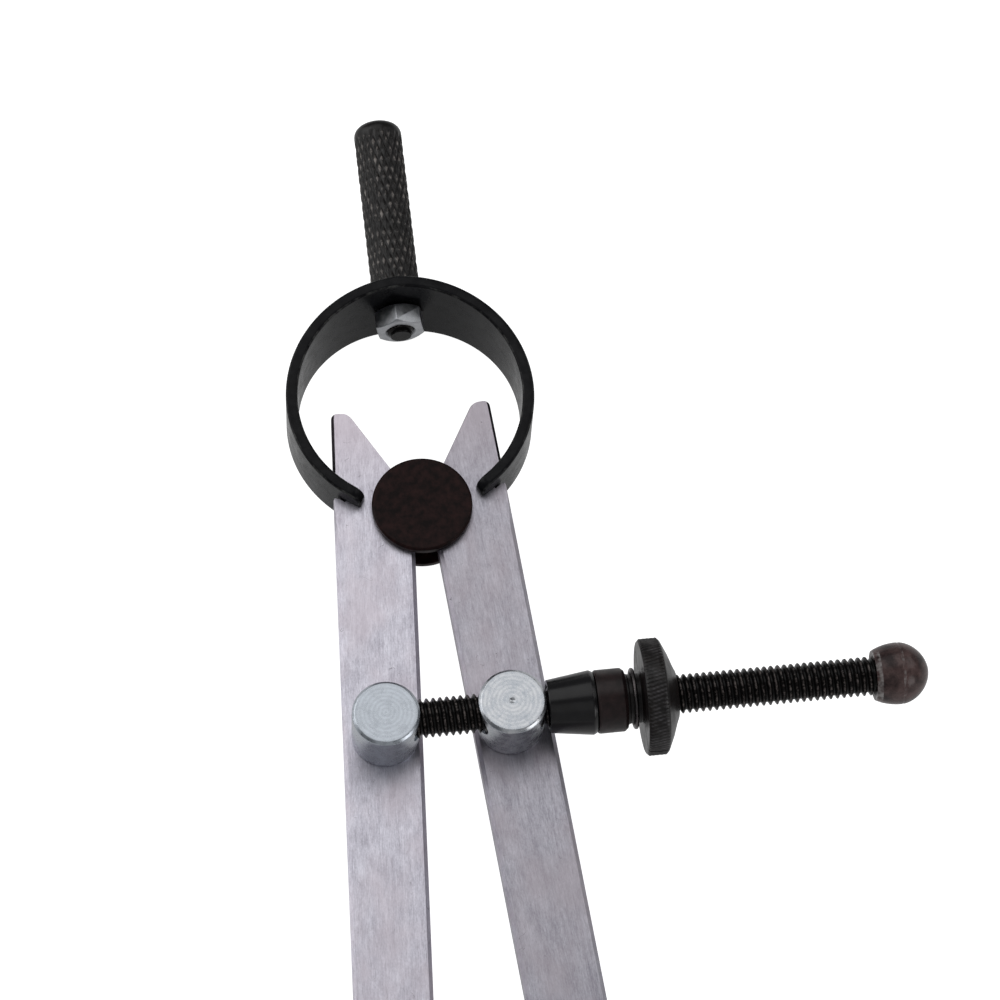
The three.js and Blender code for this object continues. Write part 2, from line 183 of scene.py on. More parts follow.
def turned(profile, segments=96, closed=False):
    """A turned solid about +Z; the profile runs up the outside, or once round a tube."""
    shape = Shape()
    rows = []
    for radius, height in profile:
        angles = [0.0] if radius < 1e-6 else [FULL_TURN * step / segments for step in range(segments)]
        rows.append([shape.point((radius * math.cos(a), radius * math.sin(a), height)) for a in angles])
    following = rows[1:] + (rows[:1] if closed else [])
    for low, high in zip(rows, following):
        shape.band(low, high)
    return shape


def tube(outside, bore, edge_round, segments=96):
    """A turned tube: the outside profile, closed by a chamfered bore."""
    bore_chamfer = 0.25
    first = outside[0][1]
    last = outside[-1][1]
    inside = [(bore + bore_chamfer, last), (bore, last - bore_chamfer),
              (bore, first + bore_chamfer), (bore + bore_chamfer, first)]
    return turned(rounded(list(outside) + inside, edge_round, closed=True), segments, closed=True)


def inset(loop, distances):
    """A counter-clockwise loop moved inwards, with mitred corners; a clockwise hole grows."""
    result = []
    for number, (here, distance) in enumerate(zip(loop, distances)):
        into = (here - loop[number - 1]).normalized()
        out = (loop[(number + 1) % len(loop)] - here).normalized()
        mitre = Vector((-into.y - out.y, into.x + out.x))
        result.append(here + mitre * (distance * 2 / max(mitre.length_squared, 1)))
    return result


def round_edge(radius):
    """A plate's rounded edge, as [distance in from the outline, height above the face] points."""
    steps = 3
    hold = 0.08
    quarter = [step / steps * math.pi / 2 for step in range(steps + 1)]
    return [(radius + hold, 0)] + [(radius * (1 - math.sin(a)), radius * (1 - math.cos(a))) for a in quarter]


def chamfered_edge(width):
    """The same for a 45 degree chamfer with crisp corners."""
    return [(width, 0), (0, width)]


def plate(loops, half, edge, edge_share):
    """A flat plate about z = 0. The first loop is the outline, the rest holes.

    edge_share narrows the edge from point to point. The crest is 1 on a round edge, 0 beside it.
    """
    back = [(depth, -half + height) for depth, height in edge]
    levels = back + [(depth, -z) for depth, z in reversed(back)]
    widest = edge[0][0]
    shape = Shape()
    caps = {0: [], len(levels) - 1: []}
    for loop in loops:
        rows = []
        for number, (depth, z) in enumerate(levels):
            moved = inset(loop, [depth * edge_share(point) for point in loop])
            on_edge = 0 < depth < widest
            rows.append([shape.point((p.x, p.y, z), float(on_edge)) for p in moved])
            if number in caps:
                caps[number].append(rows[-1])
        for low, high in zip(rows, rows[1:]):
            shape.band(low, high)
    for rows in caps.values():
        numbers = [number for row in rows for number in row]
        flat = [[shape.points[number] for number in row] for row in rows]
        for triangle in tessellate_polygon(flat):
            shape.faces.append([numbers[corner] for corner in triangle])
    return shape


def arc(centre, radius, start, end, steps):
    """Points of an arc, both ends included."""
    angles = [start + (end - start) * step / steps for step in range(steps + 1)]
    return [Vector((centre[0] + radius * math.cos(a), centre[1] + radius * math.sin(a))) for a in angles]


def smooth_step(share):
    """The share, kept between 0 and 1, with a soft start and end."""
    share = min(max(share, 0.0), 1.0)
    return share * share * (3 - 2 * share)


# ------------------------------------------------------------------ from shape to object

def to_object(name, shape, place=None, sharp=38):
    """A Blender object in millimetres, smooth except where faces meet at more than sharp degrees."""
    mesh = bpy.data.meshes.new(name)
    work = bmesh.new()
    crest = work.verts.layers.float.new("crest")
    points = [work.verts.new(where) for where in shape.points]
    for point, height in zip(points, shape.crests):
        point[crest] = height
    for face in shape.faces:
        if len(face) > 2:
            work.faces.new([points[number] for number in face])
    bmesh.ops.remove_doubles(work, verts=work.verts[:], dist=1e-4)
    bmesh.ops.dissolve_degenerate(work, edges=work.edges[:], dist=1e-5)
    open_ends = [edge for edge in work.edges if edge.is_boundary]
    if open_ends:
        bmesh.ops.holes_fill(work, edges=open_ends)
    bmesh.ops.recalc_face_normals(work, faces=work.faces[:])
    work.to_mesh(mesh)
    work.free()
    if place is not None:
        mesh.transform(place)
    obj = bpy.data.objects.new(name, mesh)
    bpy.context.scene.collection.objects.link(obj)
    shade(obj, sharp)
    return obj


def shade(obj, sharp):
    """Smooth shading, with a crisp edge where faces meet at more than sharp degrees."""
    work = bmesh.new()
    work.from_mesh(obj.data)
    for face in work.faces:
        face.smooth = True
    for edge in work.edges:
        edge.smooth = len(edge.link_faces) == 2 and edge.calc_face_angle() < math.radians(sharp)
    work.to_mesh(obj.data)
    work.free()


def apply_modifiers(obj):
    graph = bpy.context.evaluated_depsgraph_get()
    mesh = bpy.data.meshes.new_from_object(obj.evaluated_get(graph))
    obj.modifiers.clear()
    obj.data = mesh


def combine(obj, tool, operation):
    """Cuts obj with the tool object, or keeps what both share, and removes the tool."""
    modifier = obj.modifiers.new("combine", "BOOLEAN")
    modifier.object = tool
    modifier.operation = operation
    modifier.solver = "EXACT"
    apply_modifiers(obj)
    bpy.data.objects.remove(tool)


def soften_edges(obj, width):
    """Bevels every edge where faces meet at more than 30 degrees."""
    modifier = obj.modifiers.new("soften", "BEVEL")
    modifier.width = width
    modifier.segments = 2
    modifier.limit_method = "ANGLE"
    modifier.angle_limit = math.radians(30)
    modifier.use_clamp_overlap = False
    apply_modifiers(obj)


def finish_piece(obj, body, slot, material, *nodes, blend=None):
    """Scales the piece to metres, gives it its material and body, and hides the CAD nodes it stands for."""
    obj.data.transform(Matrix.Scale(MM, 4))
    obj.data.materials.clear()
    obj.data.materials.append(material)
    if blend:
        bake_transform(obj)
    else:
        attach(obj, body)
    if nodes:
        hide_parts(*nodes)
    return obj


# ------------------------------------------------------------------ material helpers

class Surface:
    """A procedural material on one Principled shader. Sizes are in millimetres."""

    def __init__(self, name, colour, metallic, roughness, **sockets):
        self.material = bpy.data.materials.new(name)
        self.material.use_nodes = True
        self.tree = self.material.node_tree
        self.shader = self.tree.nodes["Principled BSDF"]
        self.set("Base Color", (*colour, 1))
        self.set("Metallic", metallic)
        self.set("Roughness", roughness)
        for socket, value in sockets.items():
            self.set(socket.replace("_", " "), value)
        self.coordinates = self.add("TexCoord").outputs["Object"]
        self.normal = None

    def set(self, socket, value):
        self.connect(self.shader, socket, value)

    def connect(self, node, socket, value):
        if isinstance(value, bpy.types.NodeSocket):
            self.tree.links.new(value, node.inputs[socket])
        else:
            node.inputs[socket].default_value = value

    def add(self, kind, inputs=None, **settings):
        node = self.tree.nodes.new("ShaderNode" + kind)
        for name, value in settings.items():
            setattr(node, name, value)
        for socket, value in (inputs or {}).items():
            self.connect(node, socket, value)
        return node

    def place(self, size, turn=0.0, centre=(0, 0, 0)):
        """Object coordinates about a centre, turned about Z, in units of that size."""
        return self.add("Mapping", {
            "Vector": self.coordinates,
            "Location": [value * MM for value in centre],
            "Rotation": (0, 0, turn),
            "Scale": [value * MM for value in size],
        }, vector_type="TEXTURE").outputs[0]

    def noise(self, size, detail, roughness, turn=0.0):
        """Noise whose grains have about that size, or one size along each axis."""
        size = size if isinstance(size, tuple) else (size, size, size)
        return self.add("TexNoise", {
            "Vector": self.place(size, turn), "Scale": 1.0, "Detail": detail, "Roughness": roughness,
        }).outputs["Fac"]

    def spread(self, value, low, high, out_low=0.0, out_high=1.0):
        """value mapped from low..high to out_low..out_high, and kept there."""
        return self.add("MapRange", {
            "Value": value, "From Min": low, "From Max": high, "To Min": out_low, "To Max": out_high,
        }, clamp=True).outputs["Result"]

    def calculate(self, operation, first, second=0.0):
        return self.add("Math", {0: first, 1: second}, operation=operation).outputs[0]

    def weigh(self, *parts):
        """Sum of (value, weight) pairs."""
        total = self.calculate("MULTIPLY", *parts[0])
        for value, weight in parts[1:]:
            total = self.calculate("ADD", total, self.calculate("MULTIPLY", value, weight))
        return total

    def scratches(self, turn):
        """1 on thin, short, stray lines, 0 elsewhere."""
        wander = self.noise((3.2, 5.5, 3.2), 2.5, 0.5, turn)
        off_line = self.calculate("ABSOLUTE", self.calculate("SUBTRACT", wander, 0.5))
        line = self.spread(off_line, 0.0022, 0.0005)
        here = self.spread(self.noise((1.4, 1.4, 1.4), 2.0, 0.5, turn), 0.57, 0.64)
        return self.calculate("MULTIPLY", line, here)

    def mix(self, share, first, second):
        node = self.add("Mix", {"Factor": share}, data_type="RGBA")
        for number, colour in ((6, first), (7, second)):
            is_socket = isinstance(colour, bpy.types.NodeSocket)
            self.connect(node, number, colour if is_socket else (*colour, 1))
        return node.outputs[2]

    def bump(self, height, distance, strength):
        """Adds a bump of that height in millimetres on top of the ones before it."""
        inputs = {"Height": height, "Distance": distance * MM, "Strength": strength}
        if self.normal:
            inputs["Normal"] = self.normal
        self.normal = self.add("Bump", inputs).outputs[0]
        self.set("Normal", self.normal)

    def edge_wear(self, width):
        """1 on sharp outer edges, 0 on flats."""
        rounded_normal = self.add("Bevel", {"Radius": width * MM}, samples=6).outputs[0]
        normal = self.add("NewGeometry").outputs["Normal"]
        agreement = self.add("VectorMath", {0: rounded_normal, 1: normal}, operation="DOT_PRODUCT")
        return self.spread(agreement.outputs["Value"], 0.995, 0.9)

    def crest(self):
        return self.add("Attribute", attribute_name="crest").outputs["Fac"]


# ------------------------------------------------------------------ materials

STEEL_LIGHT = (0.78, 0.763, 0.84)
STEEL_DARK = (0.4, 0.38, 0.44)
STEEL_WARM_STAIN_AND_SHADE = (0.62, 0.55, 0.6)


def shaded(colour, share):
    """The colour at that share of its brightness."""
    return tuple(channel * share for channel in colour)


def brushed_steel(name, side, light, dark):
    """Flat bar ground lengthwise: short broken streaks, a blotchy tone, a few stray scratches, painted shade
    on the ears and a tone darker towards the points.
    """
    turn = side * HALF_OPENING
    surface = Surface(name, light, 1.0, 0.38)
    streaks = surface.noise((0.13, 1.3, 0.13), 4.0, 0.7, turn)
    long_streaks = surface.noise((0.45, 14, 0.45), 3.0, 0.6, turn)
    blotches = surface.noise((2.6, 5, 2.6), 5.0, 0.62, turn)
    grain = surface.noise((0.2, 0.34, 0.2), 3.0, 0.7, turn)
    tone = surface.weigh((streaks, 0.34), (long_streaks, 0.16), (blotches, 0.3), (grain, 0.2))
    body = surface.mix(surface.spread(tone, 0.38, 0.6), dark, light)
    stain_and_ear_shade = surface.spread(surface.noise((7, 11, 7), 3.0, 0.55, turn), 0.42, 0.66, 0.0, 0.5)
    upwards = surface.add("SeparateXYZ", {0: surface.coordinates}).outputs["Y"]
    # Painted shade: the ears, from 2 to 14 mm above the fulcrum, are darker and warmer. It is joined to the
    # random stain.
    ear_painted_shade = surface.spread(upwards, 2 * MM, 14 * MM, 0.0, 0.7)
    stain_and_ear_shade = surface.calculate("MAXIMUM", stain_and_ear_shade, ear_painted_shade)
    body = surface.mix(stain_and_ear_shade, body, shaded(STEEL_WARM_STAIN_AND_SHADE, light[0] / STEEL_LIGHT[0]))
    # Darker towards the points, from 50 to 105 mm below the fulcrum.
    darker_towards_points = surface.spread(upwards, -50 * MM, -105 * MM, 0.0, 0.16)
    body = surface.mix(darker_towards_points, body, dark)
    scratch_colour = (0.13, 0.12, 0.13)
    surface.set("Base Color", surface.mix(surface.scratches(turn), body, scratch_colour))
    surface.set("Roughness", surface.spread(streaks, 0.3, 0.7, 0.46, 0.34))
    surface.bump(streaks, 0.01, 0.6)
    surface.bump(grain, 0.01, 0.4)
    return surface.material


def zinc(name, light, dark, roughness, centre=None):
    """Bright zinc plate; on a post's end, faint turned rings about its centre."""
    surface = Surface(name, light, 1.0, roughness)
    clouds = surface.noise(1.3, 4.0, 0.6)
    speckle = surface.noise(0.16, 2.0, 0.6)
    tone = surface.weigh((clouds, 0.66), (speckle, 0.34))
    if centre:
        rings = surface.add("TexWave", {
            "Vector": surface.place((1, 1, 1e6), centre=centre), "Scale": 0.5, "Distortion": 3.4,
            "Detail": 4.0, "Detail Scale": 0.5, "Detail Roughness": 0.6,
        }, wave_type="RINGS", rings_direction="Z").outputs["Fac"]
        rings = surface.calculate("MULTIPLY", rings, surface.spread(clouds, 0.4, 0.6, 0.3, 1.0))
        tone = surface.weigh((tone, 0.88), (rings, 0.14))
        surface.bump(rings, 0.01, 0.4)
    surface.set("Base Color", surface.mix(surface.spread(tone, 0.32, 0.66), dark, light))
    surface.set("Roughness", surface.spread(clouds, 0.35, 0.65, roughness - 0.06, roughness + 0.08))
    surface.bump(speckle, 0.008, 0.5)
    return surface.material


def blackened(name, dark, light, roughness, worn_and_glint, specular, wear=0.5, crest=None, coat=0.0,
              cloud=1.8, speck=0.35):
    """Blackened steel: a dark mottled coat that is worn lighter in specks; on the knurl and thread crests
    the lighter specks are partly painted highlights.

    The specks lie where the shape's crest is in the given range, or on outer edges if none is given.
    cloud and speck are the sizes of the mottling and of the specks.
    """
    surface = Surface(name, dark, 0.0, roughness, Specular_IOR_Level=specular,
                      Coat_Weight=coat, Coat_Roughness=0.24)
    clouds = surface.noise(cloud, 5.0, 0.62)
    body = surface.mix(surface.spread(clouds, 0.38, 0.66), dark, light)
    if crest:
        edges = surface.spread(surface.crest(), *crest)
    else:
        edges = surface.edge_wear(0.25)
    chance = surface.spread(surface.noise(speck, 3.0, 0.7), 0.46, 0.66, 0.0, wear)
    surface.set("Base Color", surface.mix(surface.calculate("MULTIPLY", edges, chance), body, worn_and_glint))
    surface.set("Roughness", surface.spread(clouds, 0.3, 0.7, roughness + 0.08, roughness - 0.08))
    surface.bump(surface.noise(0.1, 2.0, 0.6), 0.01, 0.6)
    return surface.material


# The right leg's steel is the left leg's at about 0.7 of its brightness: painted shade.
LEG_MATERIALS = {
    -1: brushed_steel("steel_left", -1, STEEL_LIGHT, STEEL_DARK),
    1: brushed_steel("steel_right_painted_shade", 1, shaded(STEEL_LIGHT, 0.71), shaded(STEEL_DARK, 0.68)),
}
ZINC = zinc("zinc_plain", (0.6, 0.61, 0.63), (0.3, 0.31, 0.33), 0.4)
# The wire ring's near-black metal colour is painted shade, for the dark neck between the collar and the
# flange.
WIRE_PAINTED_SHADE = zinc("wire", (0.12, 0.11, 0.11), (0.05, 0.045, 0.045), 0.3)
# Painted light and shade: the same zinc, bluer and darker on the left post, brighter on the right.
POST_ZINC_LIGHT_PAINTED_BY_SIDE = {-1: (0.55, 0.59, 0.64), 1: (0.68, 0.69, 0.71)}
POST_ZINC_DARK = (0.36, 0.385, 0.42)
SPRING_BLACK = blackened("spring_black", (0.004, 0.004, 0.005), (0.01, 0.01, 0.011), 0.24,
                         worn_and_glint=(0.11, 0.11, 0.105), crest=(0.6, 1.0), specular=0.1, speck=2.2)
OXIDE = blackened("oxide", (0.006, 0.003, 0.003), (0.022, 0.008, 0.0075), 0.38,
                  worn_and_glint=(0.3, 0.26, 0.24), specular=0.09, cloud=1.3)
OXIDE_COLLAR = blackened("oxide_collar", (0.01, 0.006, 0.006), (0.026, 0.015, 0.015), 0.34,
                         worn_and_glint=(0.12, 0.08, 0.08), specular=0.25)
# On the knurl's diamond tips, the lighter specks are partly wear and partly painted highlight.
OXIDE_GRIP = blackened("oxide_grip", (0.003, 0.0022, 0.002), (0.007, 0.005, 0.0045), 0.32,
                       worn_and_glint=(0.23, 0.205, 0.19), wear=1.0, crest=(0.5, 0.95), specular=0.3, speck=1.6)
OXIDE_NUT = blackened("oxide_nut", (0.005, 0.004, 0.004), (0.011, 0.008, 0.0075), 0.33,
                      worn_and_glint=(0.1, 0.095, 0.1), wear=1.0, crest=(0.3, 1.0), specular=0.28, speck=3.0)
BALL_BROWN = blackened("ball_brown", (0.02, 0.01, 0.01), (0.11, 0.07, 0.066), 0.26,
                       worn_and_glint=(0.36, 0.34, 0.33), wear=0.8, crest=(0.5, 1.0), specular=0.25,
                       cloud=2.6, speck=2.5)
GLOSS = blackened("gloss", (0.0035, 0.003, 0.0035), (0.007, 0.0065, 0.0075), 0.2,
                  worn_and_glint=(0.12, 0.12, 0.12), specular=0.15, coat=0.4)
# On the thread crests, the lighter specks are partly wear and partly painted highlight.
GLOSS_THREAD = blackened("gloss_thread", (0.003, 0.0025, 0.0025), (0.007, 0.006, 0.006), 0.26,
                         worn_and_glint=(0.2, 0.17, 0.16), wear=0.6, crest=(0.7, 1.0), specular=0.1,
                         coat=0.1, speck=0.6)


# ------------------------------------------------------------------ camera, light and floor

def add_camera():
    """A long lens, above the front face and a little to the left, slightly rolled."""
    azimuth = math.radians(-11.15)
    elevation = math.radians(66.14)
    roll = math.radians(5.0)
    distance = 630
    target = Vector((12.03, 0.87, LEG_MID))
    towards = Vector((math.sin(azimuth) * math.cos(elevation),
                      -math.cos(azimuth) * math.cos(elevation), math.sin(elevation)))
    level = Vector((math.cos(azimuth), math.sin(azimuth), 0))
    upright = towards.cross(level)
    right = level * math.cos(roll) + upright * math.sin(roll)
    up = towards.cross(right)
    data = bpy.data.cameras.new("camera")
    data.lens = 149.5
    data.sensor_width = 36
    data.clip_start = 0.01
    camera = bpy.data.objects.new("camera", data)
    turn = Matrix((right, up, towards)).transposed().to_4x4()
    camera.matrix_world = Matrix.Translation((target + towards * distance) * MM) @ turn
    bpy.context.scene.collection.objects.link(camera)
    bpy.context.scene.camera = camera


def add_softbox(name, direction, distance, size, power):
    """A square area light of that size, that far from the fulcrum and turned to it."""
    data = bpy.data.lights.new(name, "AREA")
    data.shape = "SQUARE"
    data.size = size * MM
    data.energy = power
    light = bpy.data.objects.new(name, data)
    where = Vector(direction).normalized()
    turn = where.to_track_quat("Z", "Y").to_matrix().to_4x4()
    light.matrix_world = Matrix.Translation(where * distance * MM) @ turn
    bpy.context.scene.collection.objects.link(light)


def add_studio():
    """Soft light from six sides in a dim room, whose walls the camera sees as plain white."""
    world = bpy.data.worlds.new("studio")
    bpy.context.scene.world = world
    world.use_nodes = True
    tree = world.node_tree
    tree.nodes.clear()
    output = tree.nodes.new("ShaderNodeOutputWorld")
    seen = tree.nodes.new("ShaderNodeBackground")
    seen.inputs["Strength"].default_value = 1.0
    seen.inputs["Color"].default_value = (1, 1, 1, 1)
    around = tree.nodes.new("ShaderNodeBackground")
    around.inputs["Color"].default_value = (0.93, 0.96, 1.0, 1)
    around.inputs["Strength"].default_value = 0.16
    path = tree.nodes.new("ShaderNodeLightPath")
    mix = tree.nodes.new("ShaderNodeMixShader")
    tree.links.new(path.outputs["Is Camera Ray"], mix.inputs[0])
    tree.links.new(around.outputs[0], mix.inputs[1])
    tree.links.new(seen.outputs[0], mix.inputs[2])
    tree.links.new(mix.outputs[0], output.inputs[0])
    bpy.context.scene.view_settings.view_transform = "Standard"
    add_softbox("overhead", (-0.1, 0.51, 1.0), 700, 640, 1.25)
    add_softbox("left", (-1.0, 0.42, 0.58), 650, 560, 1.6)
    add_softbox("right", (0.68, -0.63, 0.31), 700, 320, 0.75)
    add_softbox("front", (-0.2, -0.75, 1.2), 800, 420, 0.2)
    add_softbox("low_front", (-0.1, -1.0, 0.42), 900, 700, 0.32)
    add_softbox("back_right", (0.7, 0.22, 0.62), 700, 420, 0.6)


def add_floor():
    """A plain pale floor just under the object."""
    reach = 3000
    low = min(BOW_LOW.z, SPOOL_LOW.z) - 0.2
    corners = [Vector((x * reach, y * reach, low)) for x, y in ((-1, -1), (1, -1), (1, 1), (-1, 1))]
    mesh = bpy.data.meshes.new("floor")
    mesh.from_pydata([tuple(corner * MM) for corner in corners], [], [(0, 1, 2, 3)])
    floor = bpy.data.objects.new("floor", mesh)
    bpy.context.scene.collection.objects.link(floor)
    surface = Surface("floor_white", (0.45, 0.45, 0.45), 0.0, 0.9)
    surface.set("Emission Color", (1, 1, 1, 1))
    surface.set("Emission Strength", surface.spread(
        surface.add("LightPath").outputs["Is Camera Ray"], 0, 1, 0.38, 1.0))
    floor.data.materials.append(surface.material)


# ------------------------------------------------------------------ fulcrum spool

def add_spool():
    groove = (FLANGE_THICKNESS, SPOOL_LENGTH - FLANGE_THICKNESS)
    chamfer = 0.28
    profile = [
        (0, 0), (SPOOL_RADIUS - chamfer, 0), (SPOOL_RADIUS, chamfer), (SPOOL_RADIUS, groove[0]),
        (SPOOL_BARREL, groove[0]), (SPOOL_BARREL, groove[1]), (SPOOL_RADIUS, groove[1]),
        (SPOOL_RADIUS, SPOOL_LENGTH - chamfer), (SPOOL_RADIUS - chamfer, SPOOL_LENGTH),
        (0, SPOOL_LENGTH),
    ]
    spool = to_object("spool", turned(rounded(profile, 0.12), 128))
    finish_piece(spool, "head", "brown_black", OXIDE, "fulcrum_spool")


# ------------------------------------------------------------------ legs

def leg_outline():
    """The right leg hanging straight down and not yet tapered, counter-clockwise from the foot."""
    corner = 1.0                         # rounding of the ear's corners
    shoulder = 1.2                       # rounding where the notch for the bow opens
    nearest = 0.03                       # points closer to the last one than this are dropped
    bearing = SPOOL_BARREL + GAP
    centre = (BOW_CENTRE_Y * math.sin(HALF_OPENING), BOW_CENTRE_Y * math.cos(HALF_OPENING))
    under = BOW_OUTSIDE + SNUG           # radii of the notch's lower and upper wall
    over = BOW_OUTSIDE - BOW_THICKNESS - SNUG
    root = BOW_SLOT_ANGLE - HALF_OPENING - SNUG / BOW_RADIUS - math.pi / 2
    under_edge = -math.acos((OUTER_EDGE - centre[0]) / under)
    over_edge = -math.acos((OUTER_EDGE - centre[0]) / over)
    shoulder_low = Vector((OUTER_EDGE, centre[1] + under * math.sin(under_edge) - shoulder))
    under_start = under_edge - shoulder / under
    notch_low = arc(centre, under, under_start, root, 14)
    notch_high = arc(centre, over, root, over_edge, 14)
    turn = rounded([shoulder_low - Vector((0, 3)), shoulder_low + Vector((0, shoulder * 0.6)),
                    notch_low[0]], shoulder, steps=5)
    ear_in = EAR_HEIGHT * math.tan(EAR_SLOPE)
    ear = rounded([notch_high[-1], (OUTER_EDGE, EAR_HEIGHT), (ear_in, EAR_HEIGHT),
                   (bearing * math.sin(EAR_SLOPE), bearing * math.cos(EAR_SLOPE))], corner, steps=5)
    seat = arc((0, 0), bearing, math.pi / 2 - EAR_SLOPE, -math.acos(INNER_EDGE / bearing), 18)
    foot = [Vector((INNER_EDGE, -POINT_REACH)), Vector((OUTER_EDGE, -POINT_REACH))]
    side = [Vector((OUTER_EDGE, height)) for height in (-5, -3.5, -2)]    # where the chamfer narrows
    outline = foot + side + turn[1:-1] + notch_low + notch_high + ear[1:-1] + seat
    apart = [outline[0]]
    for point in outline[1:]:
        if (point - apart[-1]).length > nearest:
            apart.append(point)
    return apart


def chamfer_share(point):
    """The chamfer's full width below the fulcrum, least on the small shoulder, more round the ear."""
    shoulder_share = 0.18
    ear_gain = 0.17
    ear_side_gain = 0.35
    on_outer_edge = smooth_step(1 - (OUTER_EDGE - point.x) / 0.6)
    on_ear = smooth_step((point.y - 3) / 2.5)
    near_fulcrum = smooth_step((point.y + 5) / 5)
    least = shoulder_share + on_ear * (ear_gain + ear_side_gain * on_outer_edge)
    return 1 - (1 - least) * near_fulcrum


def read_off(table, place):
    """The value at a place in a table of [place, value] rows, on straight lines between the rows."""
    value = table[0][1]
    for (start, first), (end, last) in zip(table, table[1:]):
        value += (last - first) * min(max((place - start) / (end - start), 0), 1)
    return value


def taper(down):
    """Shares of its full width and thickness that a leg still has, that far below the fulcrum."""
    width = read_off(((0, 1.0), (TAPER_START, 11.5 / LEG_WIDTH), (TIP_START, 4.6 / LEG_WIDTH),
                      (POINT_REACH, 0.4 / LEG_WIDTH)), down)
    thickness = read_off(((0, 1.0), (THINNING_START, 1.0), (POINT_REACH, 0.2 / LEG_HALF)), down)
    return width, thickness


def cut_across(obj, places, axis):
    """Adds an edge loop at each place along an axis, so that the mesh can be bent there."""
    normal = Vector([1.0 if number == axis else 0.0 for number in range(3)])
    work = bmesh.new()
    work.from_mesh(obj.data)
    for place in places:
        bmesh.ops.bisect_plane(work, geom=work.verts[:] + work.edges[:] + work.faces[:], dist=1e-5,
                               plane_co=normal * place, plane_no=normal)
    work.to_mesh(obj.data)
    work.free()


def add_leg(side, name):
    """A bar cut across where it bends, then tapered, turned to its opening and, on the left, mirrored."""
    hole = arc((POST_OUT, -POST_DOWN), POST_SHANK + GAP, FULL_TURN, 0, 32)[:-1]
    bar = plate([leg_outline(), hole], LEG_HALF, chamfered_edge(LEG_CHAMFER), chamfer_share)
    leg = to_object(name + "_bar", bar)
    tip_steps = 7
    tip_step = (POINT_REACH - TIP_START) / tip_steps
    cuts = [-15 * step for step in range(1, 11)] + [-TAPER_START, -THINNING_START]
    cuts += [-TIP_START - tip_step * step for step in range(tip_steps)]
    cut_across(leg, cuts, 1)
    for vertex in leg.data.vertices:
        width, thickness = taper(-vertex.co.y)
        vertex.co.x = INNER_EDGE + (vertex.co.x - INNER_EDGE) * width
        vertex.co.z *= thickness
    place = Matrix.Translation((0, 0, LEG_MID)) @ Matrix.Rotation(side * HALF_OPENING, 4, "Z")
    leg.data.transform(place @ Matrix.Diagonal((side, 1, 1, 1)))
    if side < 0:
        leg.data.flip_normals()
    shade(leg, 30)
    finish_piece(leg, name, "leg_steel", LEG_MATERIALS[side], name)


# ------------------------------------------------------------------ bow spring

def bow_half_width(along):
    """Half the strip's width at that distance from the middle of the top, along the strip."""
    share = max(1 - abs(along) / BOW_HALF_LENGTH, 0)
    return (BOW_END_WIDTH + (BOW_TOP_WIDTH - BOW_END_WIDTH) * share ** 1.5) / 2


def bow_outline():
    """The unrolled strip, counter-clockwise: x along it, y across it, forked at both ends."""
    slot_start = BOW_RADIUS * (math.pi - BOW_SLOT_ANGLE)
    slot_half = LEG_HALF + SNUG
    end_round = 2.0                      # of the strip's four outer corners
    slot_round = 0.3                     # of the slots' corners
    end_half = bow_half_width(BOW_HALF_LENGTH)
    side_steps = 64
    tip = arc((BOW_HALF_LENGTH - end_round, end_round - end_half), end_round, -math.pi / 2, 0, 8)
    slot = rounded([
        tip[-1], (BOW_HALF_LENGTH, -slot_half), (slot_start, -slot_half),
        (slot_start, slot_half), (BOW_HALF_LENGTH, slot_half), (tip[-1].x, -tip[-1].y),
    ], slot_round)[1:-1]
    right_end = tip + slot + [Vector((point.x, -point.y)) for point in reversed(tip)]
    left_end = [-point for point in right_end]
    reach = BOW_HALF_LENGTH - end_round - 0.2
    upper = [reach - 2 * reach * step / side_steps for step in range(side_steps + 1)]
    top = [Vector((along, bow_half_width(along))) for along in upper]
    bottom = [Vector((-along, -bow_half_width(along))) for along in upper]
    return bottom + right_end + top + left_end


def bow_edge_share(point):
    """The rounding's full width on the strip's sides, less round the slots and their tight corners."""
    least = 0.4
    slot_side = 2.3
    change = 0.5
    return 1 - (1 - least) * smooth_step((slot_side + change - abs(point.y)) / change)


def add_bow():
    """One strip with rounded edges, bent to its arc, then parted under the handle into two halves."""
    hole = arc((0, 0), STUD_RADIUS + 0.15, FULL_TURN, 0, 40)[:-1]
    flat = plate([bow_outline(), hole], BOW_THICKNESS / 2, round_edge(0.38), bow_edge_share)
    strip = to_object("bow", flat)
    steps = 170
    cut_across(strip, [BOW_HALF_LENGTH * (2 * step / steps - 1) for step in range(1, steps)], 0)
    for vertex in strip.data.vertices:
        turn = vertex.co.x / BOW_RADIUS
        radius = BOW_RADIUS + vertex.co.z
        vertex.co = (radius * math.sin(turn), BOW_CENTRE_Y + radius * math.cos(turn),
                     LEG_MID + vertex.co.y)
    top = Vector((0, BOW_HIGH.y - BOW_THICKNESS / 2, LEG_MID))
    for side, hand in ((-1, "left"), (1, "right")):
        half = bpy.data.objects.new("bow_spring_" + hand, strip.data.copy())
        bpy.context.scene.collection.objects.link(half)
        work = bmesh.new()
        work.from_mesh(half.data)
        everything = work.verts[:] + work.edges[:] + work.faces[:]
        bmesh.ops.bisect_plane(work, geom=everything, dist=1e-5, plane_co=(0, 0, 0),
                               plane_no=(-side, 0, 0), clear_outer=True)
        bmesh.ops.holes_fill(work, edges=[edge for edge in work.edges if edge.is_boundary])
        bmesh.ops.recalc_face_normals(work, faces=work.faces[:])
        work.to_mesh(half.data)
        work.free()
        shade(half, 50)
        end = Vector((side * BOW_RADIUS * math.sin(BOW_SLOT_ANGLE),
                      BOW_CENTRE_Y - BOW_RADIUS * math.cos(BOW_SLOT_ANGLE), LEG_MID))
        finish_piece(half, hand + "_leg", "black_spring", SPRING_BLACK, "bow_spring", blend=(top, end))
    bpy.data.objects.remove(strip)


# ------------------------------------------------------------------ handle and its nut

